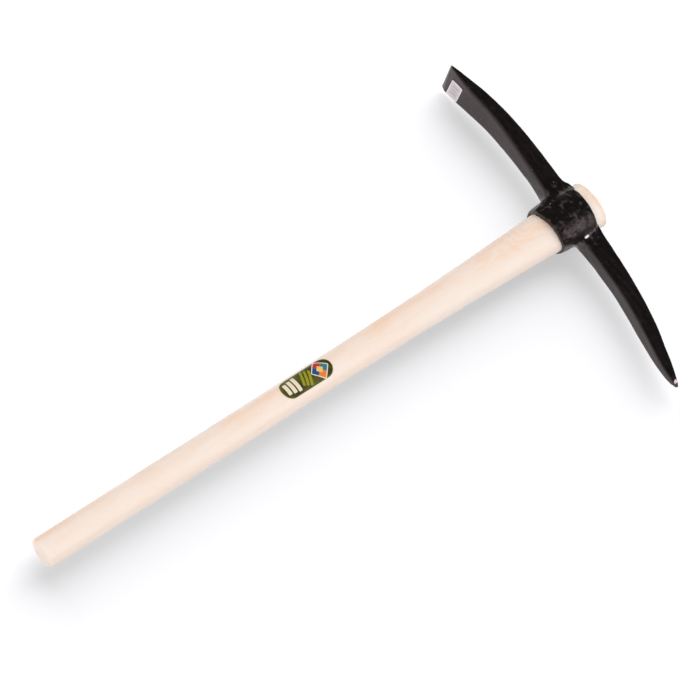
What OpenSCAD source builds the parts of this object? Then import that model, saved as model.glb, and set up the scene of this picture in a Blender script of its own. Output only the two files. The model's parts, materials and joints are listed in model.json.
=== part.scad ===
// Pick axe: a forged head with a chisel and a point, slid onto a swelling ash handle, with two paper labels.
// The handle lies along X with its butt at the origin. The head plane is XY and the chisel points to +Y.

/* [Handle] */
// Length of the handle from its butt to its top end
handle_len = 900; // [700:5:1100]
// Width of the grip at the butt, measured in the head plane
butt_w = 38.4; // [35:0.2:40]
// Thickness of the grip at the butt, measured square to the head plane
butt_t = 33.6; // [30:0.2:34]
// Width that the even taper alone reaches at the top end
plain_w = 44; // [41:0.2:48]
// Thickness that the even taper alone reaches at the top end
plain_t = 36; // [35:0.2:38]
// Width of the swollen top end
top_w = 69.4; // [60:0.2:76]
// Thickness of the swollen top end
top_t = 41; // [39:0.2:50]
// Distance from the butt to where the swelling starts
swell_from = 400; // [300:5:520]
// Rounding of the edge round the butt
butt_round = 4; // [1:0.5:8]
// Rounding of the edge round the top end
top_round = 4.5; // [1:0.5:8]

/* [Eye] */
// Length of the eye along the handle
eye_len = 60; // [45:1:80]
// Length of handle that stands out past the eye
stub_len = 24; // [8:1:40]
// Clearance between the handle and the eye, all round
eye_gap = 0.3; // [0.1:0.05:0.6]
// Wall of the eye at both rims, towards the arms
rim_wall_y = 4.5; // [3:0.5:8]
// Wall of the eye at both rims, on the cheeks
rim_wall_z = 8; // [4:0.5:12]
// Wall of the eye at its belly, towards the arms
belly_wall_y = 5.5; // [4:0.5:14]
// Wall of the eye at its belly, on the cheeks
belly_wall_z = 11.5; // [7:0.5:16]
// Rounding of the two rims
rim_round = 2; // [0.5:0.5:3]
// How much further the cheeks reach down the handle than the sides under the arms
cheek_drop = 5.5; // [0:0.5:8]
// How far the outside of the eye sits off the handle's axis, towards the chisel
eye_shift = 1.2; // [0:0.1:2]

/* [Arms] */
// Distance from the top of the eye down to the middle line of the arms
arm_depth = 13.5; // [10:0.5:20]
// Straight length of the arms' middle line, from the handle's axis
bend_from = 70; // [55:1:100]
// Radius of the bend of both arms towards the grip
bend_radius = 640; // [400:10:1200]
// Thickness of both arms a little past their flared roots
root_t = 30; // [22:0.5:34]

/* [Chisel] */
// Reach of the chisel from the handle's axis, along Y
chisel_reach = 251; // [200:1:300]
// Width of the chisel's cutting edge
edge_w = 49; // [36:0.5:60]
// Thickness left at the cutting edge
edge_t = 1.4; // [0.8:0.1:3]
// How much further the upper corner of the cutting edge reaches than the lower one
edge_skew = 6.5; // [0:0.5:10]
// Width of the chisel arm at its narrowest
chisel_neck_w = 26; // [20:0.5:32]
// Rounding of the long edges of the chisel arm
chisel_round = 4.6; // [1:0.1:6]

/* [Point] */
// Reach of the point from the handle's axis, along Y
point_reach = 264; // [200:1:300]
// Width of the point arm at its root
point_root_w = 25; // [18:0.5:32]
// Width of the blunt tip
tip_w = 4; // [2:0.5:8]
// Thickness of the blunt tip
tip_t = 3.4; // [2:0.2:8]
// Rounding of the long edges of the point arm
point_round = 2.6; // [1:0.1:4]

/* [Labels] */
// Length of the handle label
label_len = 80; // [50:1:110]
// Width of the handle label, measured round the handle
label_w = 29; // [20:0.5:36]
// Distance from the butt to the middle of the handle label
label_at = 396; // [200:1:480]
// Turn of the handle label round the handle, from the top towards the chisel
label_turn = 16.5; // [-60:0.5:60]
// Thickness of both paper labels
label_t = 0.25; // [0.15:0.05:0.4]
// Length of the blade label along the chisel
tag_len = 19.5; // [15:0.5:26]
// Width of the blade label across the chisel
tag_w = 32; // [15:0.5:36]
// Distance of the blade label from the cutting bevel
tag_inset = 2.5; // [0.5:0.1:4]
// Distance of the blade label from the lower side of the chisel
tag_edge = 1.5; // [0:0.1:4]
// Turn of the blade label on the chisel's face
tag_turn = 6; // [-10:0.5:10]

/* [Hidden] */

// Film of glue under both labels
glue_gap = 0.05;
// Overrun of all cuts
overrun = 6;
// Points round the handle, the eye and its outside
sides = 48;
// Steps of each rounded edge
round_steps = 3;
// Corners of an arm's section
corners = 4;
// Largest rounding of an arm's edges, as a share of its width or thickness
round_share = 0.25;
// Stations of the handle between its two rounded ends
handle_stations = 30;
// Stations along the outside of the eye
belly_stations = 12;
// Stations along each arm
arm_stations = 32;
// Strips along and across the handle label
label_strips = 12;
// Last angle of the round ends of the handle label
label_end_angle = 84;

eye_top = handle_len - stub_len;
eye_rim = eye_top - eye_len;
arm_x = eye_top - arm_depth;

// Chisel arm from root to edge: share of its length, share of the widening, then thickness and outward
// shift as shares of the root thickness
chisel_shares = [
    [0.080, 0.05, 1.42, 0.02],
    [0.140, 0.02, 1.35, 0.01],
    [0.180, 0.00, 1.18, -0.02],
    [0.220, 0.00, 1.12, -0.01],
    [0.270, 0.00, 1.08, 0.01],
    [0.340, 0.05, 1.04, 0.02],
    [0.430, 0.15, 0.98, 0.04],
    [0.520, 0.30, 0.90, 0.06],
    [0.600, 0.45, 0.82, 0.08],
    [0.680, 0.58, 0.75, 0.08],
    [0.750, 0.70, 0.69, 0.06],
    [0.810, 0.80, 0.61, 0.04],
    [0.860, 0.89, 0.53, 0.02]
];
// Station of the chisel where its flat stretch ends and the cutting bevel starts: the same four shares
bevel_share = [0.962, 1.04, 0.26, 0.03];
// Outward shift of the cutting edge, as a share of the root thickness
edge_shift_share = 0.08;

// Point arm from root to tip: share of its length, share of the root width, then thickness and outward
// shift as shares of the root thickness
point_shares = [
    [0.080, 1.00, 1.16, 0.00],
    [0.135, 1.00, 1.13, 0.01],
    [0.175, 0.96, 1.11, 0.01],
    [0.220, 0.92, 1.08, 0.01],
    [0.280, 0.88, 1.03, 0.00],
    [0.360, 0.86, 0.97, -0.02],
    [0.460, 0.85, 0.90, -0.04],
    [0.560, 0.85, 0.85, -0.07],
    [0.650, 0.84, 0.80, -0.10],
    [0.730, 0.79, 0.74, -0.12],
    [0.800, 0.71, 0.66, -0.14],
    [0.860, 0.62, 0.58, -0.12],
    [0.920, 0.53, 0.45, -0.08],
    [0.965, 0.42, 0.29, -0.03]
];
// Outward shift of the tip, as a share of the root thickness
tip_shift_share = 0.05;

// Handle sizes

function even(x, at_butt, at_top) = at_butt + (at_top - at_butt) * x / handle_len;
function swell_share(x) = pow(max(0, x - swell_from) / (handle_len - swell_from), 2);
function handle_w(x) = even(x, butt_w, plain_w) + (top_w - plain_w) * swell_share(x);
function handle_t(x) = even(x, butt_t, plain_t) + (top_t - plain_t) * swell_share(x);

// Rings and lofts

function oval(x, half_y, half_z) =
    [for (i = [0 : sides - 1]) [x, half_y * cos(360 * i / sides), half_z * sin(360 * i / sides)]];

function handle_ring(x, inset) = oval(x, handle_w(x) / 2 - inset, handle_t(x) / 2 - inset);

// Triangles between two rings of n points each, which start at points a and b
function ring_pair(a, b, n) =
    [for (i = [0 : n - 1])
        let (next = (i + 1) % n)
        for (t = [[a + i, b + i, b + next], [a + i, b + next, a + next]]) t];

function loft_faces(rings, n) = concat(
    [for (i = [1 : n - 2]) [0, i, i + 1]],
    [for (k = [0 : rings - 2]) for (t = ring_pair(k * n, (k + 1) * n, n)) t],
    [for (i = [1 : n - 2]) [(rings - 1) * n, (rings - 1) * n + i + 1, (rings - 1) * n + i]]
);

module loft(rings) {
    polyhedron([for (r = rings) for (p = r) p], loft_faces(len(rings), len(rings[0])));
}

// Smooth curves through tables of shares

// Slope of column c at row i
function slope(rows, i, c) =
    let (a = rows[max(0, i - 1)], b = rows[min(len(rows) - 1, i + 1)]) (b[c] - a[c]) / (b[0] - a[0]);

// The row that a share u of the length comes after
function row_before(rows, u, i = 0) =
    i == len(rows) - 2 || u < rows[i + 1][0] ? i : row_before(rows, u, i + 1);

// Value of column c at a share u of the length
function curve(rows, u, c) =
    let (
        i = row_before(rows, u),
        a = rows[i],
        b = rows[i + 1],
        h = b[0] - a[0],
        t = (u - a[0]) / h
    )
    a[c] * (1 + 2 * t) * pow(1 - t, 2) + b[c] * (3 - 2 * t) * pow(t, 2)
        + h * t * (1 - t) * ((1 - t) * slope(rows, i, c) - t * slope(rows, i + 1, c));

// Evenly spaced rows from the first row of a table to a share of the length
function smooth_rows(rows, to) =
    [for (k = [0 : arm_stations])
        let (u = rows[0][0] + (to - rows[0][0]) * k / arm_stations)
        [u, curve(rows, u, 1), curve(rows, u, 2), curve(rows, u, 3)]];

// Arms

function bend_angle(s) = max(0, s - bend_from) / bend_radius * 180 / PI;
function arm_length(reach) = bend_from + asin((reach - bend_from) / bend_radius) / 180 * PI * bend_radius;
function arm_middle(s) = [
    arm_x - bend_radius * (1 - cos(bend_angle(s))),
    min(s, bend_from) + bend_radius * sin(bend_angle(s)),
    0
];
function arm_out(s) = [cos(bend_angle(s)), sin(bend_angle(s)), 0];

function arm_section(w, t, rounding) =
    let (r = min(rounding, w * round_share, t * round_share))
    [for (q = [0 : corners - 1]) for (k = [0 : round_steps - 1])
        let (turn = (q + k / (round_steps - 1)) * 90, side = q * 90 + 45)
        [sign(cos(side)) * (w / 2 - r) + r * cos(turn), sign(sin(side)) * (t / 2 - r) + r * sin(turn)]];

// One section of an arm, shifted outwards; skew moves its upper side further along the arm
function arm_ring(s, w, t, shift, rounding, skew = 0) =
    [for (p = arm_section(w, t, rounding))
        arm_middle(s + skew * p[0] / w) + arm_out(s) * (p[1] + shift) + [0, 0, p[0]]];

chisel_len = arm_length(chisel_reach);
point_len = arm_length(point_reach);
flat_row = chisel_shares[len(chisel_shares) - 1];
chisel_rows = concat(smooth_rows(concat(chisel_shares, [bevel_share]), flat_row[0]), [bevel_share]);
tip_row = [1, tip_w / point_root_w, tip_t / root_t, tip_shift_share];
point_rows = smooth_rows(concat(point_shares, [tip_row]), 1);

function chisel_w(row) = chisel_neck_w + (edge_w - chisel_neck_w) * row[1];
function chisel_t(row) = max(edge_t, root_t * row[2]);

module chisel_arm() {
    loft(concat(
        [for (row = chisel_rows)
            arm_ring(row[0] * chisel_len, chisel_w(row), chisel_t(row), root_t * row[3], chisel_round)],
        [arm_ring(chisel_len, edge_w, edge_t, root_t * edge_shift_share, chisel_round, edge_skew)]
    ));
}

module point_arm() {
    mirror([0, 1, 0]) loft([for (row = point_rows)
        arm_ring(row[0] * point_len, point_root_w * row[1], root_t * row[2], root_t * row[3], point_round)]);
}

// Eye

function belly(u) = sin(180 * u);
function outer_y(x, u) = handle_w(x) / 2 + eye_gap + rim_wall_y + (belly_wall_y - rim_wall_y) * belly(u);
function outer_z(x, u) = handle_t(x) / 2 + eye_gap + rim_wall_z + (belly_wall_z - rim_wall_z) * belly(u);

// A ring round the outside of the eye; drop moves its cheeks down the handle
function belly_ring(x, u, inset, drop) =
    [for (p = oval(x, outer_y(x, u) - inset, outer_z(x, u) - inset))
        p + [-drop * pow(p[2] / outer_z(x, u), 2), eye_shift, 0]];

module eye_outside() {
    turns = [for (k = [0 : round_steps]) 90 * k / round_steps];
    low = eye_rim + rim_round;
    high = eye_top - rim_round;
    loft(concat(
        [for (a = turns) belly_ring(low - rim_round * cos(a), 0, rim_round * (1 - sin(a)), cheek_drop)],
        [for (k = [1 : belly_stations - 1])
            let (u = k / belly_stations) belly_ring(low + (high - low) * u, u, 0, cheek_drop * (1 - u))],
        [for (a = turns) belly_ring(high + rim_round * sin(a), 1, rim_round * (1 - cos(a)), 0)]
    ));
}

module eye_hole() {
    from = eye_rim - cheek_drop - overrun;
    to = handle_len + overrun;
    loft([for (k = [0 : belly_stations])
        let (x = from + (to - from) * k / belly_stations) handle_ring(x, -eye_gap)]);
}

// Pieces

// A block that cuts the handle's end off square, from x on
module saw_cut(x, width) {
    translate([x, -width, -width]) cube([2 * overrun, 2 * width, 2 * width]);
}

module handle() {
    turns = [for (k = [0 : round_steps]) 90 * k / round_steps];
    from = butt_round;
    to = handle_len - top_round;
    color("burlywood") difference() {
        loft(concat(
            [handle_ring(-overrun, butt_round)],
            [for (a = turns) handle_ring(from - butt_round * cos(a), butt_round * (1 - sin(a)))],
            [for (k = [1 : handle_stations - 1]) handle_ring(from + (to - from) * k / handle_stations, 0)],
            [for (a = turns) handle_ring(to + top_round * sin(a), top_round * (1 - cos(a)))],
            [handle_ring(handle_len + overrun, top_round)]
        ));
        saw_cut(-2 * overrun, butt_w);
        saw_cut(handle_len, top_w);
    }
}

module pick_head() {
    color("#1c1b1d") difference() {
        union() {
            eye_outside();
            chisel_arm();
            point_arm();
        }
        eye_hole();
    }
}

// A point on the handle's surface, turned from its top towards the chisel, lifted off by a height
function on_handle(x, turn, lift) = [
    x,
    (handle_w(x) / 2 + lift) * sin(turn),
    (handle_t(x) / 2 + lift) * cos(turn)
];

function grid_faces(rows, cols, from, flip) =
    [for (i = [0 : rows - 2]) for (j = [0 : cols - 2])
        let (a = from + i * cols + j, b = a + 1, c = a + cols, d = c + 1)
        for (t = flip ? [[a, b, d], [a, d, c]] : [[a, d, b], [a, c, d]]) t];

function wall_faces(low, high) =
    [for (k = [0 : len(low) - 2])
        for (t = [[low[k], low[k + 1], high[k + 1]], [low[k], high[k + 1], high[k]]]) t];

module handle_label() {
    rows = 3 * label_strips + 1;
    cols = label_strips + 1;
    straight = (label_len - label_w) / 2;
    radius = (handle_w(label_at) + handle_t(label_at)) / 2 / 2;
    // Half width of the label and its place along the handle, row by row
    outline = [for (i = [0 : rows - 1])
        let (
            part = i / label_strips,
            a = part < 1 ? -label_end_angle * (1 - part) : part > 2 ? label_end_angle * (part - 2) : 0,
            middle = part < 1 ? -straight : part > 2 ? straight : straight * (2 * part - 3)
        )
        [label_at + middle + label_w / 2 * sin(a), label_w / 2 * cos(a)]];
    function point(i, j, lift) = on_handle(
        outline[i][0],
        label_turn + (2 * j / (cols - 1) - 1) * outline[i][1] / radius * 180 / PI,
        lift
    );
    count = rows * cols;
    under = [for (i = [0 : rows - 1]) for (j = [0 : cols - 1]) point(i, j, glue_gap)];
    over = [for (i = [0 : rows - 1]) for (j = [0 : cols - 1]) point(i, j, glue_gap + label_t)];
    rim = concat(
        [for (j = [0 : cols - 1]) j],
        [for (i = [1 : rows - 1]) i * cols + cols - 1],
        [for (j = [cols - 2 : -1 : 0]) (rows - 1) * cols + j],
        [for (i = [rows - 2 : -1 : 0]) i * cols]
    );
    color("olivedrab") polyhedron(
        concat(under, over),
        concat(
            grid_faces(rows, cols, 0, false),
            grid_faces(rows, cols, count, true),
            wall_faces(rim, [for (k = rim) k + count])
        )
    );
}

// Middle of the chisel's inner face at a station; it is flat from the flat row to the bevel
function inner_face(row) =
    arm_middle(row[0] * chisel_len) + arm_out(row[0] * chisel_len) * (root_t * row[3] - chisel_t(row) / 2);

module blade_label() {
    start = inner_face(flat_row);
    along = inner_face(bevel_share) - start;
    flat_len = norm(along);
    low_side = -chisel_w(flat_row) / 2;
    middle = [flat_len - tag_inset - tag_len / 2, glue_gap + label_t / 2, low_side + tag_edge + tag_w / 2];
    color("white") translate(start) rotate([0, 0, atan2(along[1], along[0])])
        translate(middle) rotate([0, tag_turn, 0]) cube([tag_len, label_t, tag_w], center = true);
}

handle();
pick_head();
handle_label();
blade_label();
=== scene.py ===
import json
import math

import bmesh
import bpy
import numpy as np
from bpy.props import FloatProperty, FloatVectorProperty, IntProperty, PointerProperty
from mathutils import Matrix, Vector


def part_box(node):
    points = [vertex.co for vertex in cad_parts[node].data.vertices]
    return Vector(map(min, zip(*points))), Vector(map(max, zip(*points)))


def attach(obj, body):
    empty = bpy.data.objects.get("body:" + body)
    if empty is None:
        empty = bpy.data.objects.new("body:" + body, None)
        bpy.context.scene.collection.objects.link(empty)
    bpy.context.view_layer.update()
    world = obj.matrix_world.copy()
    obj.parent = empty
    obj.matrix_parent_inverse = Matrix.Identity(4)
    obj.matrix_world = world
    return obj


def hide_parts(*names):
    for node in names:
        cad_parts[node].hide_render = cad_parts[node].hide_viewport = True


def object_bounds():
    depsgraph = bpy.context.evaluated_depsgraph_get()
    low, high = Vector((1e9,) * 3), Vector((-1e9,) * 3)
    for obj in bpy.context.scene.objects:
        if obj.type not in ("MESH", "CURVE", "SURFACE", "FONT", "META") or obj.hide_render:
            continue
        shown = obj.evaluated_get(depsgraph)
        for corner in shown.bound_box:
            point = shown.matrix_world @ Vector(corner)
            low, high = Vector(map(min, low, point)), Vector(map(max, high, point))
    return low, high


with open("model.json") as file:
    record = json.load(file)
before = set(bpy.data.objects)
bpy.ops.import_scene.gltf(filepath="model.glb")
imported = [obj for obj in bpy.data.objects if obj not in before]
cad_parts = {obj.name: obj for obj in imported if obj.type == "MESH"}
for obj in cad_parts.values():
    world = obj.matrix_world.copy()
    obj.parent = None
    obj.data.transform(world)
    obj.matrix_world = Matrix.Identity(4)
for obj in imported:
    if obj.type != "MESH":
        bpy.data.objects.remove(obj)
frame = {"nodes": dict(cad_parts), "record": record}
CAD_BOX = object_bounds()

bl_info = {
    "name": "Pick Axe",
    "version": (1, 0, 0),
    "blender": (4, 5, 0),
    "location": "View3D > Sidebar > Pick Axe",
    "description": "Builds the finished look of a pick axe round its packed frame",
    "category": "Object",
}

MM = 0.001


# Colours and sizes

def srgb(red, green, blue):
    """A colour of 0 to 255 as the linear values that Blender's colours hold."""
    return tuple(
        c / 255 / 12.92 if c < 10.3 else ((c / 255 + 0.055) / 1.055) ** 2.4
        for c in (red, green, blue)
    )


def colour_prop(name, description, red, green, blue):
    return FloatVectorProperty(
        name=name, description=description, subtype="COLOR", size=3, min=0, max=1,
        default=srgb(red, green, blue),
    )


def length_prop(name, description, millimetres):
    return FloatProperty(
        name=name, description=description, subtype="DISTANCE", unit="LENGTH", precision=5,
        default=millimetres * MM,
    )


def angle_prop(name, description, degrees):
    return FloatProperty(name=name, description=description, subtype="ANGLE", default=math.radians(degrees))


def level_prop(name, description, default):
    """A plain number, such as the strength of a light."""
    return FloatProperty(name=name, description=description, default=default)


def count_prop(name, description, default, least):
    return IntProperty(name=name, description=description, default=default, min=least)


def place_prop(name, description, place):
    return FloatVectorProperty(name=name, description=description, subtype="TRANSLATION", default=place)


class PickHandleSettings(bpy.types.PropertyGroup):
    """Sizes and colours of the ash handle"""

    sides: count_prop("Sides", "Points round the handle", 96, 24)
    butt_round: length_prop("Butt rounding", "Rounding of the edge round the butt", 4)
    top_round: length_prop("Top rounding", "Rounding of the edge round the top end", 4.5)
    pale: colour_prop("Pale wood", "Colour of the early wood", 251, 236, 225)
    warm: colour_prop("Warm wood", "Colour of the late wood and of the warm streaks", 253, 209, 173)
    pore: colour_prop("Pores", "Colour of the short dark pores", 205, 165, 128)
    # The wood past the eye is painted paler than the rest: painted light against the shade that the eye casts
    # on it
    stub_painted_light: colour_prop("Sawn end", "Colour of the clean wood that stands out of the eye", 255, 247, 238)
    stub_painted_light_from: length_prop("Sawn end start", "Distance from the butt to where that wood begins", 872)
    ring_gap: length_prop("Ring gap", "Distance between two growth rings", 3.4)
    pith_y: length_prop("Pith, sideways", "Place of the tree's middle, along Y", -46)
    pith_z: length_prop("Pith, up", "Place of the tree's middle, along Z", -116)
    bow_from: length_prop("Bow start", "Distance from the butt to where the grain bows", 660)
    figure_from: length_prop("Figure start", "Distance from the butt to where the rings appear", 635)
    figure_to: length_prop("Figure full", "Distance from the butt to where the rings show fully", 745)
    figure_end: length_prop("Figure end", "Distance from the butt to where the rings fade again", 960)
    bow: level_prop("Bow", "How fast the grain bows near the head", 1.0)


class PickHeadSettings(bpy.types.PropertyGroup):
    """Sizes and colours of the forged head"""

    grain: length_prop("Grain", "Size of the steps that the forging is rebuilt with", 0.95)
    crotch_from: length_prop("Crotch start", "Distance from the handle's axis to the eye's side", 33)
    crotch_to: length_prop("Crotch end", "Distance from the handle's axis to where the arms are plain", 62)
    root_from: length_prop("Root start", "Distance from the handle's axis to where the filling fades", 48)
    root_to: length_prop("Root end", "Distance from the handle's axis to where the filling ends", 84)
    fill: count_prop("Fill", "How far the crotches are filled", 420, 0)
    lip_slant: length_prop("Lip slant", "How much nearer to the grip the lip is beside the chisel", 4.6)
    far_lip: length_prop("Far lip", "How far the eye's lip reaches further past the handle's top end", 1.5)
    lip_round: count_prop("Lip rounding", "How far the lip towards the grip is rounded", 14, 0)
    eye_dent: length_prop("Eye dents", "Depth of the hammer marks on the eye", 1.2)
    arm_dent: length_prop("Arm dents", "Depth of the hammer marks on the arms", 0.7)
    edge_land: length_prop("Edge land", "How far the cutting edge is ground back", 0.8)
    edge_wear: length_prop("Edge wear", "How far the paint is rubbed thin behind the cutting edge", 4)
    tip_cut: length_prop("Tip cut", "Distance of the ground facet from the end of the point", 8)
    tip_slope: angle_prop("Tip slope", "Slope of the ground facet", 29)
    # A painted glint: a white spot where the point's root meets the eye, in place of a highlight on that
    # hollow corner
    glint_place: place_prop("Chip", "Place of the chip at the point's root", (0.8538, -0.0351, 0.0125))
    glint_size: length_prop("Chip size", "Half width of that chip", 3.2)
    paint: colour_prop("Paint", "Colour of the black paint", 11, 8, 8)
    # The thin paint's colour also paints the highlights that mottle the eye's hammered lumps
    worn_paint_and_sheen: colour_prop("Worn paint", "Colour of the thin paint on high places", 66, 60, 59)
    glint_white: colour_prop("Primer", "Colour of the primer in the chip", 244, 240, 238)
    steel: colour_prop("Steel", "Colour of bare steel", 168, 158, 153)


class PickLabelSettings(bpy.types.PropertyGroup):
    """Sizes and colours of the two paper labels"""

    strips: count_prop("Strips", "Strips across the handle label", 24, 8)
    border: length_prop("Border", "Width of the cream border of the handle label", 1.1)
    cream: colour_prop("Cream", "Colour of the border and the bars", 240, 226, 198)
    olive: colour_prop("Olive", "Colour of the handle label's field", 52, 52, 20)
    leaf: colour_prop("Leaf green", "Colour of the slanted stripes", 158, 152, 24)
    crimson: colour_prop("Crimson", "First colour of the lozenge", 196, 44, 66)
    blue: colour_prop("Blue", "Second colour of the lozenge", 12, 76, 146)
    teal: colour_prop("Teal", "Third colour of the lozenge", 42, 124, 150)
    orange: colour_prop("Orange", "Fourth colour of the lozenge", 242, 124, 52)
    yellow: colour_prop("Yellow", "Middle of the lozenge", 246, 200, 84)
    tag: colour_prop("Tag", "Colour of the blade label's paper", 244, 234, 237)
    tag_ink: colour_prop("Tag ink", "Colour of the blade label's faint bars", 176, 164, 168)
    tag_curl: length_prop("Tag curl", "How far the corners of the blade label lift", 0.35)


class PickStageSettings(bpy.types.PropertyGroup):
    """The floor, the light and the camera"""

    floor_gap: length_prop("Floor gap", "Distance of the floor under the lowest point", 0.1)
    floor_size: length_prop("Floor size", "Width of the floor", 40000)
    floor: colour_prop("Floor", "Colour of the floor", 92, 92, 94)
    floor_glow: level_prop("Floor glow", "White that the floor adds by itself", 0.5)
    floor_sheen: level_prop("Floor sheen", "White that it adds in reflections", 0.42)
    key: level_prop("Key light", "Strength of the light that draws the shadow", 28.5)
    key_azimuth: angle_prop("Key azimuth", "Direction the key light comes from", 46)
    key_elevation: angle_prop("Key elevation", "Height of the key light", 27)
    key_spread: angle_prop("Key spread", "Softness of the key light", 82)
    sky_low: level_prop("Low sky", "Light from the horizon", 0.5)
    sky_high: level_prop("High sky", "Light from overhead", 0.79)
    sky_tilt: angle_prop("Sky tilt", "Lean of the brightest sky towards the point", 12)
    wall_light: level_prop("Wall light", "Light that the wall past the grip adds", 0.7)
    far_light: level_prop("Far light", "Light from past the handle's top end", 0.5)
    wall: level_prop("Wall", "What reflections show of the wall past the grip", 0.75)
    panel: level_prop("Panel", "What reflections show of the panel beside the point", 2.4)
    panel_azimuth: angle_prop("Panel azimuth", "Direction of the panel", -53)
    panel_elevation: angle_prop("Panel elevation", "Height of the panel", 34)
    panel_spread: angle_prop("Panel spread", "Width of the panel", 36)
    dark: level_prop("Dark room", "What reflections show past the floor", 0.07)
    camera_place: place_prop("Camera", "Place of the camera", (-0.7232, -0.3127, 2.2837))
    camera_target: place_prop("Target", "Point in the middle of the picture", (0.4728, 0.0253, 0.0))
    camera_roll: angle_prop("Camera roll", "Turn of the camera about its line of sight", 39.97)
    camera_lens: level_prop("Lens", "Focal length in millimetres", 110.59)


# Working on one piece

def only(piece):
    """Selects one object alone and makes it the active one."""
    bpy.ops.object.select_all(action="DESELECT")
    piece.select_set(True)
    bpy.context.view_layer.objects.active = piece


class editing:
    """Edit mode on one piece, for as long as a with block lasts."""

    def __init__(self, piece):
        self.piece = piece

    def __enter__(self):
        only(self.piece)
        bpy.ops.object.mode_set(mode="EDIT")
        bpy.ops.mesh.select_all(action="DESELECT")
        return bmesh.from_edit_mesh(self.piece.data)

    def __exit__(self, *error):
        bpy.ops.object.mode_set(mode="OBJECT")


def pick(piece, mesh, elements, test):
    """Selects, in edit mode, the vertices, edges or faces that pass a test."""
    bpy.ops.mesh.select_all(action="DESELECT")
    for element in elements:
        if test(element):
            element.select_set(True)
    mesh.select_flush_mode()
    bmesh.update_edit_mesh(piece.data)


def finish_with(piece, kind, **settings):
    """Adds a modifier to a piece and applies it."""
    only(piece)
    bpy.ops.object.modifier_add(type=kind)
    modifier = piece.modifiers[-1]
    for name, value in settings.items():
        setattr(modifier, name, value)
    bpy.ops.object.modifier_apply(modifier=modifier.name)


def smooth_shading(piece, degrees):
    only(piece)
    bpy.ops.object.shade_smooth_by_angle(angle=math.radians(degrees))


def node_points(node):
    """The corners of a CAD node's mesh, as an array."""
    return np.array([v.co for v in frame["nodes"][node].data.vertices])


def seat(piece, node, material):
    """Puts a finished piece in a CAD node's place: its body and its material."""
    body = next(name for name, nodes in frame["record"]["behaviour"]["bodies"].items() if node in nodes)
    piece.data.materials.clear()
    piece.data.materials.append(material)
    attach(piece, body)
    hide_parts(node)


# Working on materials

def place(tree, kind, inputs=None, **settings):
    """Adds a node, sets its options, and fills its inputs with values or with other nodes' outputs."""
    made = tree.nodes.new(kind)
    for name, value in settings.items():
        setattr(made, name, value)
    for key, value in (inputs or {}).items():
        if isinstance(value, bpy.types.NodeSocket):
            tree.links.new(value, made.inputs[key])
        else:
            made.inputs[key].default_value = value
    return made


def calc(tree, operation, *values):
    """The result of one step of arithmetic on values or sockets."""
    return place(tree, "ShaderNodeMath", dict(enumerate(values)), operation=operation).outputs[0]


def vector_calc(tree, operation, *values):
    made = place(tree, "ShaderNodeVectorMath", dict(enumerate(values)), operation=operation)
    return made.outputs["Value" if operation in ("LENGTH", "DISTANCE", "DOT_PRODUCT") else "Vector"]


def blend_colour(tree, factor, first, second):
    """First where the factor is 0, second where it is 1."""
    mixed = place(tree, "ShaderNodeMix", data_type="RGBA")
    for key, value in (("Factor_Float", factor), ("A_Color", first), ("B_Color", second)):
        socket = next(s for s in mixed.inputs if s.identifier == key)
        if isinstance(value, bpy.types.NodeSocket):
            tree.links.new(value, socket)
        elif key == "Factor_Float":
            socket.default_value = value
        else:
            socket.default_value = (*value, 1)
    return next(s for s in mixed.outputs if s.identifier == "Result_Color")


def spread(tree, value, low, high, to_low=0.0, to_high=1.0):
    """Maps a value from one range to another, with soft ends."""
    inputs = {"Value": value, "From Min": low, "From Max": high, "To Min": to_low, "To Max": to_high}
    return place(tree, "ShaderNodeMapRange", inputs, interpolation_type="SMOOTHSTEP").outputs["Result"]


def stretched(tree, vector, scale):
    """A vector with its axes scaled, so that a pattern is drawn out along the axis that is scaled least."""
    return place(tree, "ShaderNodeMapping", {"Vector": vector, "Scale": scale}).outputs["Vector"]


def turned_by(tree, vector, angle):
    """A vector with its first two axes turned."""
    inputs = {"Vector": vector, "Rotation": (0, 0, angle)}
    return place(tree, "ShaderNodeMapping", inputs).outputs["Vector"]


def new_material(name):
    """An empty material with a Principled shader, and its tree, shader and texture coordinates."""
    material = bpy.data.materials.new(name)
    material.use_nodes = True
    tree = material.node_tree
    tree.nodes.clear()
    shader = place(tree, "ShaderNodeBsdfPrincipled")
    output = place(tree, "ShaderNodeOutputMaterial", {"Surface": shader.outputs["BSDF"]})
    output.is_active_output = True
    return material, tree, shader, place(tree, "ShaderNodeTexCoord").outputs


def new_group(name, inputs, outputs):
    """An empty node group with named sockets: its tree, what it is given and what it has to fill."""
    tree = bpy.data.node_groups.new(name, "ShaderNodeTree")
    for socket, kind, default in inputs:
        made = tree.interface.new_socket(socket, in_out="INPUT", socket_type=kind)
        made.default_value = default
    for socket, kind in outputs:
        tree.interface.new_socket(socket, in_out="OUTPUT", socket_type=kind)
    return tree, tree.nodes.new("NodeGroupInput").outputs, tree.nodes.new("NodeGroupOutput").inputs


def mottle_group():
    """Soft patches: noise at a scale, spread between two levels. Wood, paint and paper all use it."""
    if "mottle" in bpy.data.node_groups:
        return bpy.data.node_groups["mottle"]
    tree, given, result = new_group(
        "mottle",
        [
            ("Vector", "NodeSocketVector", (0, 0, 0)),
            ("Scale", "NodeSocketFloat", 100.0),
            ("Detail", "NodeSocketFloat", 3.0),
            ("Low", "NodeSocketFloat", 0.4),
            ("High", "NodeSocketFloat", 0.6),
        ],
        [("Mask", "NodeSocketFloat")],
    )
    noise = place(tree, "ShaderNodeTexNoise", {key: given[key] for key in ("Vector", "Scale", "Detail")})
    tree.links.new(spread(tree, noise.outputs[0], given["Low"], given["High"]), result["Mask"])
    return tree


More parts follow.
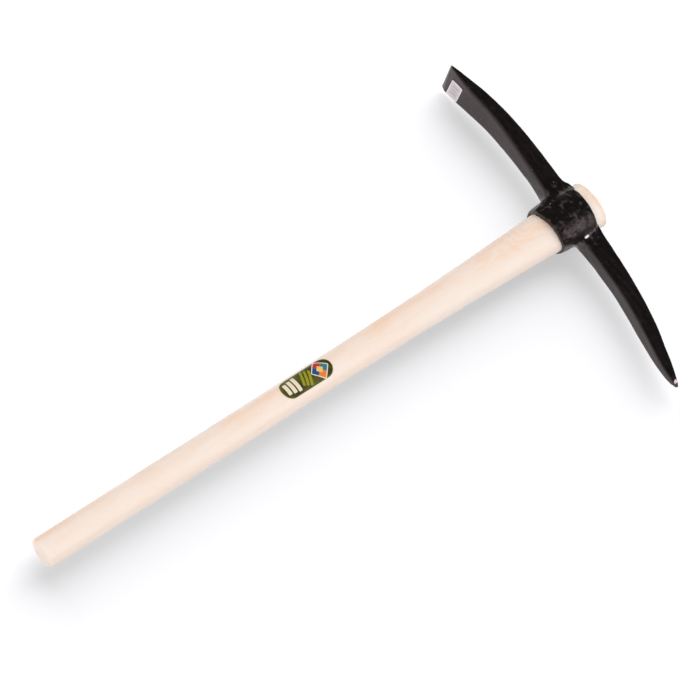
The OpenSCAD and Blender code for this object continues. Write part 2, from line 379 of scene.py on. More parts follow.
def mottle(tree, vector, scale, low, high, detail=3.0):
    """Places the mottle group in a material."""
    inputs = {"Vector": vector, "Scale": scale, "Detail": detail, "Low": low, "High": high}
    return place(tree, "ShaderNodeGroup", inputs, node_tree=mottle_group()).outputs["Mask"]


def drawn_out(tree, vector, scale, low, high, detail=3.0):
    """Mottling with a scale of its own for each axis."""
    return mottle(tree, stretched(tree, vector, scale), 1.0, low, high, detail)


def rounded_box_group():
    """A printed box with round corners: 1 inside it and 0 outside. Both labels use it."""
    if "rounded_box" in bpy.data.node_groups:
        return bpy.data.node_groups["rounded_box"]
    tree, given, result = new_group(
        "rounded_box",
        [
            ("Vector", "NodeSocketVector", (0, 0, 0)),
            ("Centre", "NodeSocketVector", (0, 0, 0)),
            ("Half Size", "NodeSocketVector", (1, 1, 0)),
            ("Corner", "NodeSocketFloat", 0.1),
            ("Soft", "NodeSocketFloat", 0.01),
        ],
        [("Mask", "NodeSocketFloat")],
    )
    off_centre = vector_calc(tree, "SUBTRACT", given["Vector"], given["Centre"])
    from_centre = vector_calc(tree, "ABSOLUTE", off_centre)
    corner = place(tree, "ShaderNodeCombineXYZ", {"X": given["Corner"], "Y": given["Corner"]}).outputs[0]
    past = vector_calc(
        tree, "SUBTRACT", from_centre, vector_calc(tree, "SUBTRACT", given["Half Size"], corner)
    )
    outside = vector_calc(tree, "LENGTH", vector_calc(tree, "MAXIMUM", past, (0, 0, 0)))
    parts = place(tree, "ShaderNodeSeparateXYZ", {"Vector": past}).outputs
    inside = calc(tree, "MINIMUM", calc(tree, "MAXIMUM", parts["X"], parts["Y"]), 0.0)
    distance = calc(tree, "SUBTRACT", calc(tree, "ADD", outside, inside), given["Corner"])
    soft = calc(tree, "MULTIPLY", given["Soft"], -1.0)
    tree.links.new(spread(tree, distance, soft, given["Soft"], 1.0, 0.0), result["Mask"])
    return tree


def rounded_box(tree, vector, centre, half_size, corner, soft=0.12 * MM):
    """Places the rounded box group in a material."""
    inputs = {"Vector": vector, "Corner": corner, "Soft": soft}
    inputs |= {"Centre": (*centre, 0), "Half Size": (*half_size, 0)}
    return place(tree, "ShaderNodeGroup", inputs, node_tree=rounded_box_group()).outputs["Mask"]


def bumped(tree, shader, height, distance, strength=1.0):
    """Feeds a height, in shares of a distance, to a shader's normal."""
    bump = place(tree, "ShaderNodeBump", {"Height": height, "Distance": distance, "Strength": strength})
    tree.links.new(bump.outputs["Normal"], shader.inputs["Normal"])


# Handle

# Points of the handle's mesh that lie closer than this along it belong to one ring
SAME_RING = 0.02 * MM
# Edges closer than this to the end of the handle lie on it
ON_END = 0.01 * MM
# Steps of the rounding of both ends, corners that only the two flat faces have more of, and widths of the
# rings that these faces are cut into
END_STEPS = 6
END_CORNERS = 8
END_RINGS = (2 * MM, 5 * MM)

# How often each mark of the wood comes in a metre, along X, Y and Z
RING_WANDER_SCALE = (27, 42, 42)
FIBRE_SCALE = (14, 620, 620)
PATCH_SCALE = (6, 40, 40)
BLOTCH_SCALE = (22, 75, 75)
PORE_SCALE = (75, 2300, 2300)
RIM_SCALE = (75, 75, 75)
# How far the growth rings wander, in ring gaps
RING_WANDER = 5.0
# Shares of a ring at which its late wood starts, is full and ends
LATE_SHARES = (0.2, 0.75, 1.0)
# Heights on the side away from the pith between which the looped figure comes in
FIGURE_HEIGHTS = (11 * MM, 20 * MM)
# Places along Y, towards the chisel, between which the warm patches and the blotches come in, so that the
# chisel's side is warmer and darker as painted shade
PATCH_PAINTED_SHADE_SIDES = (-2 * MM, 16 * MM)
BLOTCH_PAINTED_SHADE_SIDES = (-8 * MM, 6 * MM)
# Shares of the warm colour that each mark adds, and the share of the pores' colour
RING_WARMTH = 0.26
PLAIN_RING_WARMTH = 0.05
FIGURE_WARMTH = 0.12
PATCH_WARMTH = 0.42
BLOTCH_WARMTH = 0.22
FIBRE_WARMTH = 0.1
RIM_WARMTHS = (0.1, 0.5)
PORE_SHARE = 0.22
# Length over which the wood past the eye grows pale, as painted light against the shade that the eye casts on
# it, and distances from its face between which its rim grows warm
STUB_PAINTED_LIGHT_FADE = 8 * MM
RIM_FADE = (12 * MM, 3 * MM)
# Depth of the grain, the share of it that the fibres have, and the roughness between and on the fibres
GRAIN_DEPTH = 0.06 * MM
FIBRE_HEIGHT = 0.35
WOOD_ROUGHNESS = (0.38, 0.5)


def handle_sections():
    """Places along the CAD handle and its half width and half thickness there, without the rounded ends."""
    settings = bpy.context.scene.pick_handle
    points = node_points("handle")
    low, high = points[:, 0].min(), points[:, 0].max()
    first = low + settings.butt_round - SAME_RING
    last = high - settings.top_round + SAME_RING
    places = np.unique(points[:, 0].round(5))
    places = places[(places >= first) & (places <= last)]
    rings = [points[np.abs(points[:, 0] - x) < SAME_RING] for x in places]
    halves = np.array([np.abs(ring[:, 1:]).max(axis=0) for ring in rings])

    def beyond(x, a, b):
        share = (x - places[a]) / (places[b] - places[a])
        return halves[a] + (halves[b] - halves[a]) * share

    places_out = np.concatenate([[low], places, [high]])
    halves_out = np.vstack([beyond(low, 0, 1), halves, beyond(high, -1, -2)])
    return places_out, halves_out


def ash_material():
    settings = bpy.context.scene.pick_handle
    material, tree, shader, coordinates = new_material("ash_wood")
    here = coordinates["Object"]
    axes = place(tree, "ShaderNodeSeparateXYZ", {"Vector": here}).outputs
    along = axes["X"]

    # Growth rings about the tree's middle, which bow near the head
    pith = (0.0, settings.pith_y, settings.pith_z)
    radius = vector_calc(tree, "DISTANCE", stretched(tree, here, (0, 1, 1)), pith)
    past = calc(tree, "MAXIMUM", calc(tree, "SUBTRACT", along, settings.bow_from), 0.0)
    bow = calc(tree, "MULTIPLY", calc(tree, "POWER", past, 2.0), settings.bow / 2)
    wander = place(
        tree, "ShaderNodeTexNoise",
        {"Vector": stretched(tree, here, RING_WANDER_SCALE), "Scale": 1.0, "Detail": 2.0},
    ).outputs[0]
    wander = calc(tree, "MULTIPLY", wander, RING_WANDER * settings.ring_gap)
    reach = calc(tree, "ADD", calc(tree, "ADD", radius, bow), wander)
    phase = calc(tree, "FRACT", calc(tree, "DIVIDE", reach, settings.ring_gap))
    starts, full, ends = LATE_SHARES
    late = calc(tree, "MULTIPLY", spread(tree, phase, starts, full), spread(tree, phase, ends, full))

    # Where the rings are cut flat: the side away from the tree's middle, and most of all near the head
    outward = Vector((0, -settings.pith_y, -settings.pith_z)).normalized()
    figure = spread(tree, vector_calc(tree, "DOT_PRODUCT", here, tuple(outward)), *FIGURE_HEIGHTS)
    for fades_out in (settings.figure_from, settings.figure_end):
        figure = calc(tree, "MULTIPLY", figure, spread(tree, along, fades_out, settings.figure_to))

    # Long fibres, warm patches and blotches, weighted towards the chisel's side as painted shade, and short
    # pores
    fibre = drawn_out(tree, here, FIBRE_SCALE, low=0.3, high=0.7)
    patch = drawn_out(tree, here, PATCH_SCALE, low=0.4, high=0.7)
    patch = calc(tree, "MULTIPLY", patch, spread(tree, axes["Y"], *PATCH_PAINTED_SHADE_SIDES, to_low=0.3))
    blotch = drawn_out(tree, here, BLOTCH_SCALE, low=0.42, high=0.66, detail=4.0)
    blotch = calc(tree, "MULTIPLY", blotch, spread(tree, axes["Y"], *BLOTCH_PAINTED_SHADE_SIDES, to_low=0.15))
    pores = drawn_out(tree, here, PORE_SCALE, low=0.63, high=0.72, detail=1.0)
    pores = calc(tree, "MULTIPLY", pores, spread(tree, phase, low=0.5, high=0.1, to_low=0.25))
    shown = calc(tree, "ADD", calc(tree, "MULTIPLY", figure, RING_WARMTH), PLAIN_RING_WARMTH)
    warmth = calc(tree, "MULTIPLY", late, shown)
    marks = ((figure, FIGURE_WARMTH), (patch, PATCH_WARMTH), (blotch, BLOTCH_WARMTH), (fibre, FIBRE_WARMTH))
    for mark, share in marks:
        warmth = calc(tree, "ADD", warmth, calc(tree, "MULTIPLY", mark, share))

    # The wood past the eye: painted paler, as painted light against the eye's shade, with a warm rim
    past_eye = spread(tree, along, settings.stub_painted_light_from, settings.stub_painted_light_from + STUB_PAINTED_LIGHT_FADE)
    pale = blend_colour(tree, past_eye, settings.pale, settings.stub_painted_light)
    rim = spread(tree, along, *[CAD_BOX[1].x - off for off in RIM_FADE], *RIM_WARMTHS)
    rim = calc(tree, "MULTIPLY", rim, drawn_out(tree, here, RIM_SCALE, low=0.3, high=0.55))
    warmth = calc(tree, "MULTIPLY_ADD", rim, past_eye, warmth)
    wood = blend_colour(tree, warmth, pale, settings.warm)
    wood = blend_colour(tree, calc(tree, "MULTIPLY", pores, PORE_SHARE), wood, settings.pore)
    tree.links.new(wood, shader.inputs["Base Color"])

    tree.links.new(spread(tree, fibre, 0.0, 1.0, *WOOD_ROUGHNESS), shader.inputs["Roughness"])
    shader.inputs["Specular IOR Level"].default_value = 0.5
    height = calc(tree, "SUBTRACT", calc(tree, "MULTIPLY", fibre, FIBRE_HEIGHT), pores)
    bumped(tree, shader, height, GRAIN_DEPTH, strength=0.5)
    return material


class PICK_OT_handle(bpy.types.Operator):
    """Turns the ash handle: a ring drawn out from the butt to the top end, with rounded, sawn ends"""

    bl_idname = "pick.handle"
    bl_label = "Handle"

    def execute(self, context):
        settings = context.scene.pick_handle
        places, halves = handle_sections()
        bpy.ops.object.select_all(action="DESELECT")
        bpy.ops.mesh.primitive_circle_add(
            vertices=settings.sides, radius=1.0, fill_type="NOTHING", location=(0, 0, 0),
            rotation=(0, math.pi / 2, 0),
        )
        piece = context.object
        piece.name = piece.data.name = "wood_handle"
        bpy.ops.object.transform_apply(location=True, rotation=True, scale=True)
        with editing(piece):
            bpy.ops.mesh.select_all(action="SELECT")
            bpy.ops.transform.translate(value=(places[0], 0, 0))
            bpy.ops.transform.resize(value=(1, *halves[0]), center_override=(places[0], 0, 0))
            for k in range(1, len(places)):
                bpy.ops.mesh.extrude_edges_move(
                    TRANSFORM_OT_translate={"value": (places[k] - places[k - 1], 0, 0)}
                )
                bpy.ops.transform.resize(
                    value=(1, *(halves[k] / halves[k - 1])), center_override=(places[k], 0, 0)
                )
        for x, rounding in ((places[0], settings.butt_round), (places[-1], settings.top_round)):
            with editing(piece) as mesh:
                bpy.ops.mesh.select_mode(type="EDGE")
                pick(piece, mesh, mesh.edges, lambda e: all(abs(v.co.x - x) < ON_END for v in e.verts))
                bpy.ops.mesh.edge_face_add()
                bpy.ops.mesh.bevel(
                    offset=rounding, offset_type="OFFSET", segments=END_STEPS, affect="EDGES"
                )
        with editing(piece) as mesh:
            bpy.ops.mesh.select_all(action="SELECT")
            bpy.ops.mesh.normals_make_consistent(inside=False)
            bpy.ops.mesh.select_mode(type="FACE")
            pick(piece, mesh, mesh.faces, lambda f: len(f.verts) > END_CORNERS)
            for width in END_RINGS:
                bpy.ops.mesh.inset(thickness=width, depth=0)
        smooth_shading(piece, degrees=30)
        seat(piece, "handle", ash_material())
        return {"FINISHED"}


# Head

# Shares of the handle's own size between which the eye's inside ends and the forging is free to change
EYE_HOLE_SHARES = (1.04, 1.1)
# Distances from the blade label's middle between which the dents come in, so that the label lies flat
LABEL_CLEARANCE = (22 * MM, 34 * MM)
# Half width of the part of the eye that its length is measured on
EYE_MIDDLE = 20 * MM
# Distances from the lip towards the grip between which its rounding fades
LIP_ROUND_FADE = (1 * MM, 9 * MM)
# How far along the eye the shifts of its two lips reach, and places along Y between which they grow
LIP_REACH = 24 * MM
FAR_LIP_REACH = 16 * MM
CHISEL_SIDE = (-4 * MM, 32 * MM)
# Size and steps of the hammer marks on the eye and on the arms, and the level that they leave as it is
EYE_MARKS = (11 * MM, 2)
ARM_MARKS = (32 * MM, 1)
MARK_LEVEL = 0.35
# How far one round of smoothing goes, rounds over the whole forging and over the filled crotches, and how far
# filling may sink what stands out
SMOOTHING = 0.5
FORGING_ROUNDS = 2
FILLED_ROUNDS = 6
FILL_SINK = 0.25 * MM
# Half length of the stretch of the point that its top is looked for in
TIP_SEARCH = 5 * MM
# How much a place has to face both the grip and a side to count fully as a ridge
RIDGE_TURN = 0.6

# How often each mark of the paint comes in a metre
LUMP_SCALE = 110.0
PIT_SCALE = 420.0
RUB_AND_SHEEN_SCALE = 140.0
PEEL_SCALE = 700.0
STREAK_SCALE = 230.0
DRAWN_SCALE = 170.0
FLECK_SCALE = 170.0
SCUFF_AND_GLINT_SCALE = 190.0
GLINT_AND_WEAR_SCALE = 260.0
# Scales along X, Y and Z that draw marks out along the arms, and those that shape the painted glint at the
# point's root
STREAK_SHAPE = (1.0, 0.12, 1.0)
DRAWN_SHAPE = (1.0, 0.3, 1.0)
SCUFF_AND_GLINT_SHAPE = (1, 0.4, 1)
GLINT_SHAPE = (0.62, 1.3, 1.0)
# Shares of the thin paint's colour in the rubbed places of the arms and of the eye, which on the eye are
# mostly painted highlights of the hammered lumps, and in the streaks
RUB_AND_SHEEN_SHARES = (0.1, 0.9)
STREAK_SHARE = 0.09
# Shares of bare steel in the flecks, the scuffs, which also paint glints along the arms' edges, and the
# cutting edge's thin paint
FLECK_SHARE = 0.6
SCUFF_AND_GLINT_SHARE = 0.5
WEAR_SHARE = 0.3
# Shares of the painted glint's width and of the cutting edge's thin paint up to which they show fully
GLINT_FULL_SHARE = 0.6
WEAR_FULL_SHARE = 0.3
# Heights from the facet's plane between which steel counts as ground, how far from its top the ground steel
# ends, as shares of the tip cut, and how metallic it is
FACET_HEIGHTS = (-0.12 * MM, -0.06 * MM)
FACET_END_SHARES = (0.55, 0.4)
FACET_METAL = 0.8
# Depth of the marks in the paint, and the shares of it that the pits, the drawn marks and the peel have
PAINT_DEPTH = 0.3 * MM
PIT_HEIGHT = 0.35
DRAWN_HEIGHT = 0.35
PEEL_HEIGHT = 0.04
# Roughness of the paint between and on its lumps, what the drawn marks add to it, and the tint of its shine
PAINT_ROUGHNESS = (0.24, 0.32)
DRAWN_ROUGHNESS = 0.08
SHINE_TINT = (1.0, 0.78, 0.77, 1)


def falloff(value, low, high):
    """1 up to low, 0 from high on, and smooth between them."""
    t = np.clip((value - low) / (high - low), 0, 1)
    return 1 - t * t * (3 - 2 * t)


def weigh(piece, name, weights):
    """Stores one weight for each vertex in a vertex group."""
    group = piece.vertex_groups.new(name=name)
    for index, weight in enumerate(weights):
        group.add([index], float(weight), "REPLACE")


def hammer_marks(name, size, depth):
    """A cloud texture for the hammer marks of the forging."""
    texture = bpy.data.textures.new(name, "CLOUDS")
    texture.noise_scale = size
    texture.noise_depth = depth
    return texture


def cutting_edge():
    """The near corner of the chisel's cutting edge, and the way ahead: square to the edge, in the face."""
    points = node_points("pick_head")
    near = points[points[:, 2] > 0]
    far = points[points[:, 2] < 0]
    near_corner = Vector(near[near[:, 1].argmax()])
    far_corner = Vector(far[far[:, 1].argmax()])
    ahead = (near_corner - far_corner).cross(plate_frame("blade_label")[3]).normalized()
    return near_corner, ahead * math.copysign(1, ahead.y)


def tip_facet():
    """A point on the facet that is ground on the point's near side, and the facet's outward direction."""
    settings = bpy.context.scene.pick_head
    points = node_points("pick_head")
    start = points[:, 1].min() + settings.tip_cut
    top = points[np.abs(points[:, 1] - start) < TIP_SEARCH]
    top = top[top[:, 2].argmax()]
    return Vector(top), Vector((0, -math.sin(settings.tip_slope), math.cos(settings.tip_slope)))


def plate_frame(node):
    """Middle of a thin CAD plate, its directions along and across the chisel and outward, and its sizes."""
    points = np.unique(node_points(node).round(7), axis=0)
    middle = points.mean(axis=0)
    out, along, across = np.linalg.eigh(np.cov((points - middle).T))[1].T
    along, across, out = along * np.sign(along[1]), across * np.sign(across[2]), out * -np.sign(out[0])
    size = [np.ptp(points @ direction) for direction in (along, across)]
    return Vector(middle), Vector(along), Vector(across), Vector(out), size


def paint_material():
    settings = bpy.context.scene.pick_head
    material, tree, shader, coordinates = new_material("black_paint")
    here = coordinates["Object"]
    axes = place(tree, "ShaderNodeSeparateXYZ", {"Vector": here}).outputs
    off_axis = calc(tree, "ABSOLUTE", axes["Y"])
    on_eye = spread(tree, off_axis, settings.crotch_from, settings.crotch_to, 1.0, 0.0)

    # Lumps and pits on the eye, rubbed paint that on the eye is mostly painted highlights, peel all over, and
    # marks drawn out along the arms
    lumps = mottle(tree, here, LUMP_SCALE, low=0.3, high=0.7, detail=2.0)
    pits = mottle(tree, here, PIT_SCALE, low=0.6, high=0.72, detail=2.0)
    rubbed_and_sheen = mottle(tree, here, RUB_AND_SHEEN_SCALE, low=0.52, high=0.7, detail=4.0)
    rubbed_and_sheen = calc(tree, "MULTIPLY", rubbed_and_sheen, spread(tree, on_eye, 0.0, 1.0, *RUB_AND_SHEEN_SHARES))
    peel = mottle(tree, here, PEEL_SCALE, low=0.25, high=0.75, detail=2.0)
    streak = mottle(tree, stretched(tree, here, STREAK_SHAPE), STREAK_SCALE, low=0.45, high=0.7)
    drawn = mottle(tree, stretched(tree, here, DRAWN_SHAPE), DRAWN_SCALE, low=0.3, high=0.7)

    # Bare flecks, scuffed ridges with painted glints, and a painted glint at the point's root
    fleck = mottle(tree, here, FLECK_SCALE, low=0.81, high=0.83, detail=1.0)
    ridge = place(tree, "ShaderNodeAttribute", attribute_name="ridge").outputs["Fac"]
    scuff_and_glint = mottle(tree, stretched(tree, here, SCUFF_AND_GLINT_SHAPE), SCUFF_AND_GLINT_SCALE, low=0.7, high=0.74, detail=2.0)
    scuff_and_glint = calc(tree, "MULTIPLY", scuff_and_glint, ridge)
    off_glint = stretched(tree, vector_calc(tree, "SUBTRACT", here, settings.glint_place), GLINT_SHAPE)
    off_glint = vector_calc(tree, "LENGTH", off_glint)
    painted_glint = spread(tree, off_glint, settings.glint_size, GLINT_FULL_SHARE * settings.glint_size)
    painted_glint = calc(tree, "MULTIPLY", painted_glint, mottle(tree, here, GLINT_AND_WEAR_SCALE, low=0.25, high=0.35))

    # Paint rubbed thin at the cutting edge, and the facet at the point
    corner, ahead = cutting_edge()
    along = vector_calc(tree, "DOT_PRODUCT", here, tuple(ahead))
    behind = calc(tree, "SUBTRACT", corner.dot(ahead), along)
    wear = spread(tree, behind, settings.edge_wear, WEAR_FULL_SHARE * settings.edge_wear)
    wear = calc(tree, "MULTIPLY", wear, mottle(tree, here, GLINT_AND_WEAR_SCALE, low=0.0, high=0.5))
    tip, slope = tip_facet()
    outward = vector_calc(tree, "DOT_PRODUCT", here, tuple(slope))
    facet = spread(tree, calc(tree, "SUBTRACT", outward, tip.dot(slope)), *FACET_HEIGHTS)
    facet_ends = [tip.y - share * settings.tip_cut for share in FACET_END_SHARES]
    facet = calc(tree, "MULTIPLY", facet, spread(tree, axes["Y"], *facet_ends))
    bare = facet
    for mark, share in ((fleck, FLECK_SHARE), (scuff_and_glint, SCUFF_AND_GLINT_SHARE), (wear, WEAR_SHARE)):
        bare = calc(tree, "MAXIMUM", bare, calc(tree, "MULTIPLY", mark, share))

    # Lighter patches: on the arms a little rubbed paint, on the eye mostly painted highlights
    paint = blend_colour(tree, rubbed_and_sheen, settings.paint, settings.worn_paint_and_sheen)
    paint = blend_colour(tree, calc(tree, "MULTIPLY", streak, STREAK_SHARE), paint, settings.worn_paint_and_sheen)
    paint = blend_colour(tree, bare, paint, settings.steel)
    # The painted glint at the point's root, white
    paint = blend_colour(tree, painted_glint, paint, settings.glint_white)
    tree.links.new(paint, shader.inputs["Base Color"])
    tree.links.new(calc(tree, "MULTIPLY", facet, FACET_METAL), shader.inputs["Metallic"])
    rough = spread(tree, lumps, 0.0, 1.0, *PAINT_ROUGHNESS)
    rough = calc(tree, "ADD", rough, calc(tree, "MULTIPLY", drawn, DRAWN_ROUGHNESS))
    tree.links.new(rough, shader.inputs["Roughness"])
    shader.inputs["IOR"].default_value = 1.5
    shader.inputs["Specular Tint"].default_value = SHINE_TINT

    eye_height = calc(tree, "SUBTRACT", lumps, calc(tree, "MULTIPLY", pits, PIT_HEIGHT))
    eye_height = calc(tree, "MULTIPLY", eye_height, on_eye)
    all_over = calc(tree, "MULTIPLY_ADD", drawn, DRAWN_HEIGHT, calc(tree, "MULTIPLY", peel, PEEL_HEIGHT))
    bumped(tree, shader, calc(tree, "ADD", all_over, eye_height), PAINT_DEPTH, strength=0.8)
    return material


class PICK_OT_head(bpy.types.Operator):
    """Forges the head: the frame's solid, filled at its crotches, hammered, and ground at both ends"""

    bl_idname = "pick.head"
    bl_label = "Head"

    def execute(self, context):
        settings = context.scene.pick_head
        piece = bpy.data.objects.new("forged_head", frame["nodes"]["pick_head"].data.copy())
        context.collection.objects.link(piece)
        with editing(piece):
            bpy.ops.mesh.select_all(action="SELECT")
            bpy.ops.mesh.remove_doubles(threshold=0.01 * MM)
        finish_with(piece, "REMESH", mode="VOXEL", voxel_size=settings.grain)
        self.hammer(piece, settings)
        self.grind(piece, settings)
        self.mark_ridges(piece, settings)
        smooth_shading(piece, degrees=40)
        seat(piece, "pick_head", paint_material())
        return {"FINISHED"}

    def hammer(self, piece, settings):
        """Rounds the forging off and dents it, but leaves the inside of the eye as it fits."""
        points = np.array([v.co for v in piece.data.vertices])
        places, halves = handle_sections()
        half_y = np.interp(points[:, 0], places, halves[:, 0])
        half_z = np.interp(points[:, 0], places, halves[:, 1])
        off_hole = np.hypot(points[:, 1] / half_y, points[:, 2] / half_z)
        free = 1 - falloff(off_hole, *EYE_HOLE_SHARES)
        crotch = falloff(np.abs(points[:, 1]), settings.crotch_from, settings.crotch_to) * free
        weigh(piece, "free", free)
        weigh(piece, "crotch", crotch)
        middle = plate_frame("blade_label")[0]
        off_label = 1 - falloff(np.linalg.norm(points - np.array(middle), axis=1), *LABEL_CLEARANCE)
        weigh(piece, "arms", free * (1 - crotch) * off_label)
        weigh(piece, "roots", falloff(np.abs(points[:, 1]), settings.root_from, settings.root_to) * free)
        on_eye = falloff(np.abs(points[:, 1]), settings.crotch_from, settings.root_from)
        lengths = points[np.abs(points[:, 1]) < EYE_MIDDLE][:, 0]
        off_lip, off_far_lip = points[:, 0] - lengths.min(), lengths.max() - points[:, 0]
        weigh(piece, "lip", falloff(off_lip, *LIP_ROUND_FADE) * on_eye * free)
        chisel_side = 1 - falloff(points[:, 1], *CHISEL_SIDE)
        near = settings.lip_slant * falloff(off_lip, 0, LIP_REACH) * chisel_side
        far = settings.far_lip * falloff(off_far_lip, 0, FAR_LIP_REACH) * (1 + chisel_side)
        points[:, 0] += (far - near) * on_eye
        piece.data.vertices.foreach_set("co", points.ravel())
        finish_with(piece, "SMOOTH", factor=SMOOTHING, iterations=settings.lip_round, vertex_group="lip")
        finish_with(piece, "SMOOTH", factor=SMOOTHING, iterations=FORGING_ROUNDS, vertex_group="free")
        self.fill(piece, settings)
        marks = (
            ("crotch", hammer_marks("eye_marks", *EYE_MARKS), settings.eye_dent),
            ("arms", hammer_marks("arm_marks", *ARM_MARKS), settings.arm_dent),
        )
        for group, texture, depth in marks:
            finish_with(
                piece, "DISPLACE", texture=texture, texture_coords="LOCAL", direction="NORMAL",
                mid_level=MARK_LEVEL, strength=depth, vertex_group=group,
            )

    def fill(self, piece, settings):
        """Fills the hollow corners between the eye and the arms, and sinks what stands out only a little."""
        before = np.array([v.co for v in piece.data.vertices])
        outward = np.array([v.normal for v in piece.data.vertices])
        finish_with(piece, "SMOOTH", factor=SMOOTHING, iterations=settings.fill, vertex_group="roots")
        after = np.array([v.co for v in piece.data.vertices])
        rise = np.clip(((after - before) * outward).sum(axis=1), -FILL_SINK, None)
        piece.data.vertices.foreach_set("co", (before + outward * rise[:, None]).ravel())
        piece.data.update()
        finish_with(piece, "SMOOTH", factor=SMOOTHING, iterations=FILLED_ROUNDS, vertex_group="roots")

    def grind(self, piece, settings):
        """Grinds the cutting edge back to a narrow land, and a small facet on the point."""
        corner, ahead = cutting_edge()
        for place_on, outward in ((corner - ahead * settings.edge_land, ahead), tip_facet()):
            with editing(piece):
                bpy.ops.mesh.select_all(action="SELECT")
                bpy.ops.mesh.bisect(plane_co=place_on, plane_no=outward, use_fill=True, clear_outer=True)

    def mark_ridges(self, piece, settings):
        """Stores where the arms' edges towards the grip stand out, where their paint gets scuffed and glints
        are painted on.
        """
        points = np.array([v.co for v in piece.data.vertices])
        normals = np.array([v.normal for v in piece.data.vertices])
        share = np.clip(np.minimum(-normals[:, 0], np.abs(normals[:, 2])) / RIDGE_TURN, 0, 1)
        share *= 1 - falloff(np.abs(points[:, 1]), settings.crotch_from, settings.crotch_to)
        ridge = piece.data.attributes.new("ridge", "FLOAT", "POINT")
        ridge.data.foreach_set("value", share.astype(np.float32))


# Labels

# Thickness of the handle label and of the blade label, and the film of glue under the handle label
LABEL_THICKNESS = 0.25 * MM
TAG_THICKNESS = 0.2 * MM
GLUE_FILM = 0.05 * MM
# Vertices nearer than this to the label's middle line stay on it
ON_MIDDLE = 0.01 * MM
# Half width, distance, corner and turn of the slanted stripes, and their half length as a share of the width
# of the label
STRIPE_HALF = 1.7 * MM
STRIPE_GAP = 5.2 * MM
STRIPE_CORNER = 0.8 * MM
STRIPE_TURN = math.radians(24)
STRIPE_SHARE = 0.34
# Half width, distance and corner of the bars, the place of the first as a share of the label's length, and
# the half length of the first and what each next one gains, as shares of the label's width
BAR_HALF = 2.6 * MM
BAR_GAP = 7.2 * MM
BAR_CORNER = 1.2 * MM
BAR_START_SHARE = -0.38
BAR_SHARE = 0.26
BAR_GAIN_SHARE = 0.04
# Place of the lozenge as a share of the label's length, its half size as one of the label's width, its rim,
# the corners of its rim, quarters and middle, and the size of its middle as a share of its own
LOZENGE_PLACE_SHARE = 0.27
LOZENGE_SHARE = 0.3
LOZENGE_RIM = 1.2 * MM
LOZENGE_CORNERS = (1.6 * MM, 0.3 * MM, 0.6 * MM)
LOZENGE_MIDDLE_SHARE = 0.42
# How often the field's mottling comes in a metre, and the share of leaf green in it
FIELD_SCALE = 60.0
FIELD_LEAF_SHARE = 0.4
# How often the paper's fibres come in a metre, and the depth and the roughness of the handle label's paper
PRINT_FIBRE_SCALE = 1500.0
PRINT_DEPTH = 0.01 * MM
PRINT_ROUGHNESS = (0.28, 0.36)
# The same for the blade label, and the share of ink colour in its fibres
TAG_FIBRE_SCALE = 1200.0
TAG_DEPTH = 0.02 * MM
TAG_ROUGHNESS = (0.55, 0.7)
TAG_FIBRE_INK = 0.1
# The blade label's faint panel: its rise and half size as shares of the label, its corner, edge and ink
TAG_PANEL_RISE_SHARE = 0.02
TAG_PANEL_SHARE = 0.4
TAG_PANEL_CORNER = 1.2 * MM
TAG_PANEL_SOFT = 0.7 * MM
TAG_PANEL_INK = 0.4
# Its faint bars: half lengths, half width, first place and step as shares of the label, corner, edge and ink
TAG_BAR_SHARES = (0.28, 0.2, 0.26)
TAG_BAR_HALF_SHARE = 0.04
TAG_BAR_FIRST_SHARE = 0.22
TAG_BAR_STEP_SHARE = 0.2
TAG_BAR_CORNER = 0.2 * MM
TAG_BAR_SOFT = 0.6 * MM
TAG_BAR_INK = 0.6
# How sharply the blade label's corners lift
TAG_CURL_POWER = 3


